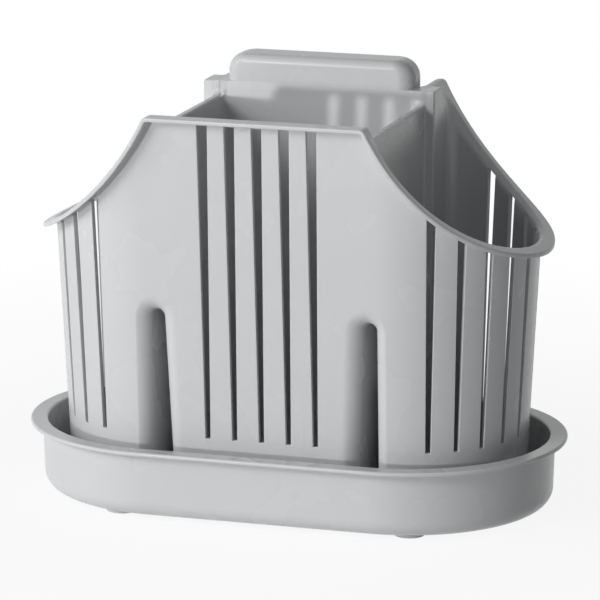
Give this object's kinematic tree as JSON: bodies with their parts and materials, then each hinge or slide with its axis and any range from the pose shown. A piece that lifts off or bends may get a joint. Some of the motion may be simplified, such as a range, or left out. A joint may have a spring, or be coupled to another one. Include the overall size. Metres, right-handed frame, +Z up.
{
  "type": "cutlery holder",
  "caption": "Slotted moulded basket with three cups, dropped rims and a hollow handle hood, standing loose in an oval drip tray on low round feet.",
  "frame": {"origin": "on the ground under the middle of the tray, level with the undersides of the feet", "axes": "+X along the length to the viewer's right, -Y is the front with the slotted wall, +Z up"},
  "size_m": [0.215, 0.1248, 0.1697],
  "materials": {
    "basket_plastic": "light grey injection-moulded polypropylene, satin to gloss",
    "tray_plastic": "light grey injection-moulded polypropylene, satin to gloss",
    "foot_plastic": "light grey moulded plastic, matt"
  },
  "bodies": {
    "tray": {"drip_tray": "tray_plastic", "foot_front_left": "foot_plastic", "foot_front_right": "foot_plastic", "foot_back_left": "foot_plastic", "foot_back_right": "foot_plastic"},
    "basket": {"basket": "basket_plastic"}
  },
  "joints": [
    {"name": "basket_lift", "type": "slide", "parent": "tray", "child": "basket", "axis": [0, 0, 1], "range_m": [0, 0.04]}
  ]
}
